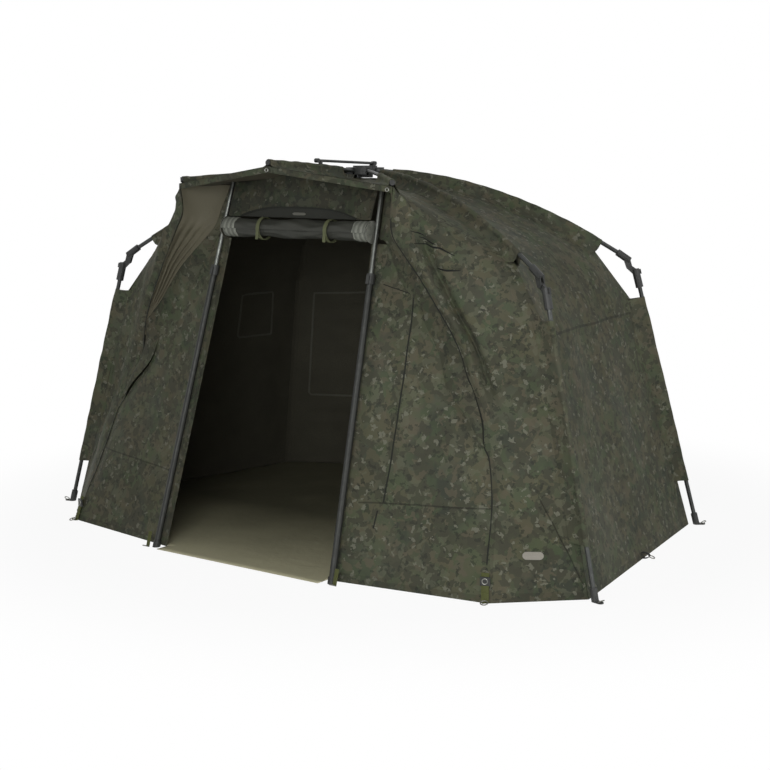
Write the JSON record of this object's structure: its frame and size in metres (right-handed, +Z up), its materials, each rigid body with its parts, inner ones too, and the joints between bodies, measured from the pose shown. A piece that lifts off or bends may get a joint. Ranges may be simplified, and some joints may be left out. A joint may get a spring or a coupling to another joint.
{
  "type": "bivvy tent",
  "caption": "Domed fishing shelter with outside ribs on folding legs, a peaked hood and a rolled-up door between telescopic poles.",
  "frame": {"origin": "on the ground, at the middle of the bounding box in plan", "axes": "+Z up; the door faces -Y; +X is on the right of someone who faces the door"},
  "size_m": [2.5194, 2.0916, 1.4124],
  "materials": {
    "gunmetal_tube": "satin",
    "pole_grey": "satin",
    "black_plastic": "matte",
    "camo_cloth": "matte",
    "dark_cloth": "matte",
    "olive_webbing": "matte",
    "khaki_sheet": "matte"
  },
  "bodies": {
    "frame": {"hub_body": "black_plastic", "hub_cap": "black_plastic", "rib_front_right": "gunmetal_tube", "knuckle_socket_front_right": "black_plastic", "rib_rear_right": "gunmetal_tube", "knuckle_socket_rear_right": "black_plastic", "rib_rear": "gunmetal_tube", "knuckle_socket_rear": "black_plastic", "rib_rear_left": "gunmetal_tube", "knuckle_socket_rear_left": "black_plastic", "rib_front_left": "gunmetal_tube", "knuckle_socket_front_left": "black_plastic", "peak_arm_right": "gunmetal_tube", "peak_tip_right": "black_plastic", "peak_arm_middle": "gunmetal_tube", "peak_tip_middle": "black_plastic", "peak_arm_left": "gunmetal_tube", "peak_tip_left": "black_plastic", "door_pole_upper_right": "pole_grey", "door_pole_upper_left": "pole_grey", "roof_canopy": "camo_cloth", "peak_hood": "camo_cloth", "front_panel_right": "camo_cloth", "front_panel_left": "camo_cloth", "infill_panel_right": "camo_cloth", "infill_panel_left": "camo_cloth", "door_header": "camo_cloth", "rolled_door": "dark_cloth", "door_tie_right": "olive_webbing", "door_tie_left": "olive_webbing", "groundsheet": "khaki_sheet", "wall_right": "camo_cloth", "wall_rear_right": "camo_cloth", "wall_rear_left": "camo_cloth", "wall_left": "camo_cloth"},
    "leg_front_right": {"knuckle_yoke_front_right": "black_plastic", "leg_tube_front_right": "gunmetal_tube", "foot_front_right": "black_plastic"},
    "leg_rear_right": {"knuckle_yoke_rear_right": "black_plastic", "leg_tube_rear_right": "gunmetal_tube", "foot_rear_right": "black_plastic"},
    "leg_rear": {"knuckle_yoke_rear": "black_plastic", "leg_tube_rear": "gunmetal_tube", "foot_rear": "black_plastic"},
    "leg_rear_left": {"knuckle_yoke_rear_left": "black_plastic", "leg_tube_rear_left": "gunmetal_tube", "foot_rear_left": "black_plastic"},
    "leg_front_left": {"knuckle_yoke_front_left": "black_plastic", "leg_tube_front_left": "gunmetal_tube", "foot_front_left": "black_plastic"},
    "trigger_front_right": {"knuckle_trigger_front_right": "black_plastic"},
    "trigger_rear_right": {"knuckle_trigger_rear_right": "black_plastic"},
    "trigger_rear": {"knuckle_trigger_rear": "black_plastic"},
    "trigger_rear_left": {"knuckle_trigger_rear_left": "black_plastic"},
    "trigger_front_left": {"knuckle_trigger_front_left": "black_plastic"},
    "lever": {"hub_lever": "gunmetal_tube"},
    "pole_right": {"door_pole_lower_right": "pole_grey", "pole_clamp_right": "black_plastic"},
    "pole_left": {"door_pole_lower_left": "pole_grey", "pole_clamp_left": "black_plastic"}
  },
  "joints": [
    {"name": "leg_fold", "type": "hinge", "parent": "frame", "child": "leg_front_right", "pos_m": [0.95488, -0.58826, 1.00232], "axis": [0.309, 0.9511, 0], "range_deg": [0, 121], "deforming": ["wall_right", "wall_rear_right", "wall_rear_left", "wall_left", "front_panel_right", "front_panel_left", "groundsheet"]},
    {"name": "leg_fold_rear_right", "type": "hinge", "parent": "frame", "child": "leg_rear_right", "pos_m": [0.81227, 0.31215, 1.00232], "axis": [-0.5878, 0.809, 0], "range_deg": [0, 117.42]},
    {"name": "leg_fold_rear", "type": "hinge", "parent": "frame", "child": "leg_rear", "pos_m": [0, 0.72602, 1.00232], "axis": [-1, 0, 0], "range_deg": [0, 113.79]},
    {"name": "leg_fold_rear_left", "type": "hinge", "parent": "frame", "child": "leg_rear_left", "pos_m": [-0.81227, 0.31215, 1.00232], "axis": [-0.5878, -0.809, 0], "range_deg": [0, 110.16]},
    {"name": "leg_fold_front_left", "type": "hinge", "parent": "frame", "child": "leg_front_left", "pos_m": [-0.95488, -0.58826, 1.00232], "axis": [0.309, -0.9511, 0], "range_deg": [0, 106.53]},
    {"name": "trigger_press_front_right", "type": "slide", "parent": "leg_front_right", "child": "trigger_front_right", "axis": [-0.9195, 0.2988, -0.2553], "range_m": [0, 0.003], "stiffness_N_per_m": 300},
    {"name": "trigger_press_rear_right", "type": "slide", "parent": "leg_rear_right", "child": "trigger_rear_right", "axis": [-0.7822, -0.5683, -0.2553], "range_m": [0, 0.003], "stiffness_N_per_m": 300},
    {"name": "trigger_press_rear", "type": "slide", "parent": "leg_rear", "child": "trigger_rear", "axis": [0, -0.9669, -0.2553], "range_m": [0, 0.003], "stiffness_N_per_m": 300},
    {"name": "trigger_press_rear_left", "type": "slide", "parent": "leg_rear_left", "child": "trigger_rear_left", "axis": [0.7822, -0.5683, -0.2553], "range_m": [0, 0.003], "stiffness_N_per_m": 300},
    {"name": "trigger_press_front_left", "type": "slide", "parent": "leg_front_left", "child": "trigger_front_left", "axis": [0.9195, 0.2988, -0.2553], "range_m": [0, 0.003], "stiffness_N_per_m": 300},
    {"name": "lever_lift", "type": "hinge", "parent": "frame", "child": "lever", "pos_m": [0, -0.223, 1.3928], "axis": [-1, 0, 0], "range_deg": [0, 100]},
    {"name": "pole_extension_right", "type": "slide", "parent": "frame", "child": "pole_right", "axis": [-0.047, 0.2751, 0.9603], "range_m": [0, 0.12]},
    {"name": "pole_extension_left", "type": "slide", "parent": "frame", "child": "pole_left", "axis": [0.047, 0.2751, 0.9603], "range_m": [0, 0.12]}
  ],
  "couplings": [
    {"joint": "leg_fold_rear_right", "follows": "leg_fold", "ratio": 0.97},
    {"joint": "leg_fold_rear", "follows": "leg_fold", "ratio": 0.94},
    {"joint": "leg_fold_rear_left", "follows": "leg_fold", "ratio": 0.91},
    {"joint": "leg_fold_front_left", "follows": "leg_fold", "ratio": 0.88}
  ]
}
